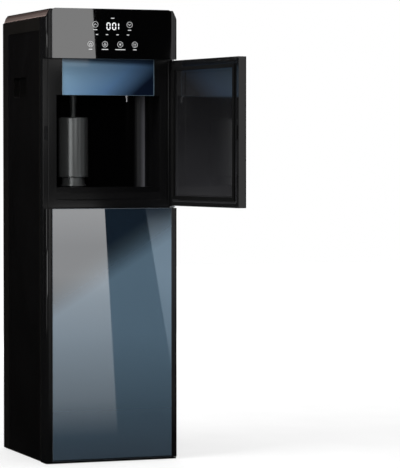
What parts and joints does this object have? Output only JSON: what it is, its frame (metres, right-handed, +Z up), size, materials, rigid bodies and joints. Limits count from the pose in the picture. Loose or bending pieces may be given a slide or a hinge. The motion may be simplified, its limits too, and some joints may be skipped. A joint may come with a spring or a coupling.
{
  "type": "water dispenser",
  "caption": "Tall floor-standing water dispenser with a dark glass front, touch control head, dispensing niche behind a side-hung door and a bottle bay behind a lower door.",
  "frame": {"origin": "on the floor under the middle of the cabinet", "axes": "X to the right seen from the front, Y to the back, Z up"},
  "size_m": [0.3674, 0.6502, 1.018],
  "materials": {
    "side_black": "satin black moulded panels",
    "frame_black": "gloss black mouldings",
    "liner_black": "fine-grained dark lining",
    "control_black_glass": "back-painted black glass",
    "blue_mirror_glass": "blue-grey tinted mirror glass",
    "bronze_trim": "bronze-coloured bevel",
    "steel": "brushed stainless steel",
    "bright_steel": "plated steel",
    "rubber_black": "soft black rubber",
    "tube_clear": "milky silicone tube",
    "foam": "dark insulating foam",
    "board_green": "lacquered circuit board",
    "aluminium": "bare aluminium",
    "white_plastic": "white moulded plastic",
    "magnet_dark": "sintered magnet",
    "switch_black": "black switch moulding",
    "switch_red": "red rocker",
    "switch_green": "green rocker"
  },
  "bodies": {
    "cabinet": {"base_pan": "frame_black", "anti_slip_pads": "rubber_black", "left_side_panel": "side_black", "right_side_panel": "side_black", "back_panel": "side_black", "back_rails": "frame_black", "back_screws": "bright_steel", "top_trim": "bronze_trim", "top_panel": "frame_black", "bay_frame": "frame_black", "niche_frame": "frame_black", "hood_panel": "blue_mirror_glass", "mid_shelf": "liner_black", "niche_liner": "liner_black", "niche_deck": "frame_black", "canister_base": "frame_black", "canister_body": "steel", "feed_pipe": "steel", "spout": "bright_steel", "outlet_valves": "white_plastic", "control_head": "frame_black", "control_glass": "control_black_glass", "display_board": "board_green", "display_module": "frame_black", "hinge_pins": "bright_steel", "mid_hinge_bracket": "bright_steel", "strike_plates": "bright_steel", "hot_tank": "steel", "hot_tank_jacket": "foam", "cold_tank": "steel", "cold_tank_jacket": "foam", "peltier_stack": "aluminium", "heat_sink": "aluminium", "fan_frame": "frame_black", "water_pump": "frame_black", "suction_nipple": "white_plastic", "supply_tube": "tube_clear", "feed_tubes": "tube_clear", "outlet_tubes": "tube_clear", "power_board": "board_green", "mains_gland": "rubber_black", "switch_housings": "switch_black", "drain_pipes": "white_plastic"},
    "upper_door": {"upper_door_shell": "frame_black", "upper_door_glass": "control_black_glass", "upper_door_liner": "liner_black", "upper_door_seal": "rubber_black", "upper_door_magnet": "magnet_dark"},
    "lower_door": {"lower_door_shell": "frame_black", "lower_door_glass": "blue_mirror_glass", "lower_door_liner": "liner_black", "lower_door_seal": "rubber_black", "lower_door_magnet": "magnet_dark"},
    "drip_tray": {"drip_tray": "frame_black", "drip_grille": "frame_black"},
    "fan_rotor": {"fan_rotor": "frame_black"},
    "heat_rocker": {"heat_rocker": "switch_red"},
    "cool_rocker": {"cool_rocker": "switch_green"},
    "hot_drain_plug": {"hot_drain_plug": "rubber_black"},
    "cold_drain_plug": {"cold_drain_plug": "rubber_black"}
  },
  "joints": [
    {"name": "upper_door_hinge", "type": "hinge", "parent": "cabinet", "child": "upper_door", "pos_m": [0.151, -0.1545, 0.74], "axis": [0, 0, 1], "range_deg": [-98.5, 11.5]},
    {"name": "lower_door_hinge", "type": "hinge", "parent": "cabinet", "child": "lower_door", "pos_m": [0.151, -0.1545, 0.288], "axis": [0, 0, 1], "range_deg": [0, 110]},
    {"name": "drip_tray_lift", "type": "slide", "parent": "cabinet", "child": "drip_tray", "axis": [0, 0, 1], "range_m": [0, 0.08]},
    {"name": "fan_spin", "type": "hinge", "parent": "cabinet", "child": "fan_rotor", "pos_m": [0.08, 0.1485, 0.65], "axis": [0, 1, 0], "continuous": true},
    {"name": "heat_switch", "type": "hinge", "parent": "cabinet", "child": "heat_rocker", "pos_m": [0.066, 0.1725, 0.905], "axis": [1, 0, 0], "range_deg": [0, 16]},
    {"name": "cool_switch", "type": "hinge", "parent": "cabinet", "child": "cool_rocker", "pos_m": [0.096, 0.1725, 0.905], "axis": [1, 0, 0], "range_deg": [0, 16]},
    {"name": "hot_drain_pull", "type": "slide", "parent": "cabinet", "child": "hot_drain_plug", "axis": [0, 1, 0], "range_m": [0, 0.02]},
    {"name": "cold_drain_pull", "type": "slide", "parent": "cabinet", "child": "cold_drain_plug", "axis": [0, 1, 0], "range_m": [0, 0.02]}
  ]
}
